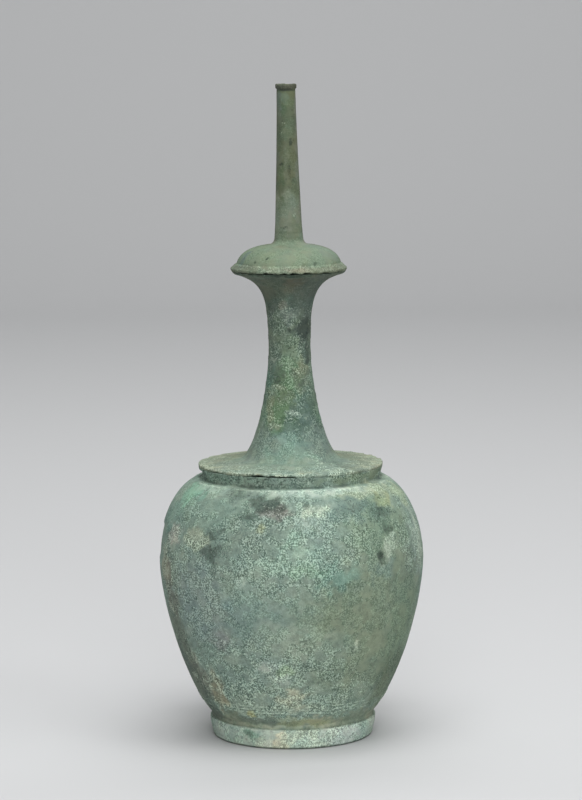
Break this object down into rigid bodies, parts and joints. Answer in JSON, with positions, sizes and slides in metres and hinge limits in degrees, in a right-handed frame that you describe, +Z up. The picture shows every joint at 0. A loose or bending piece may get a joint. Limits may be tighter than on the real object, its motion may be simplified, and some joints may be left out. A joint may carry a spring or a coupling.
{
  "type": "ritual water ewer",
  "caption": "Hollow bronze ritual water ewer: egg-shaped body on a foot ring, flat shoulder plate, tall waisted neck and a domed top with a slender upright spout tube.",
  "frame": {"origin": "on the ground, at the centre of the foot ring's underside", "axes": "+Z up along the vessel's axis towards the mouth of the spout tube, -Y towards the viewer"},
  "size_m": [0.146, 0.146, 0.36],
  "materials": {
    "patinated_bronze": "old bronze under a matt, grainy green patina with pale crust, dark pits and brown patches"
  },
  "bodies": {
    "root": {"foot_ring": "patinated_bronze", "body": "patinated_bronze", "neck_and_shoulder_plate": "patinated_bronze", "dome_and_spout_tube": "patinated_bronze"}
  },
  "joints": []
}
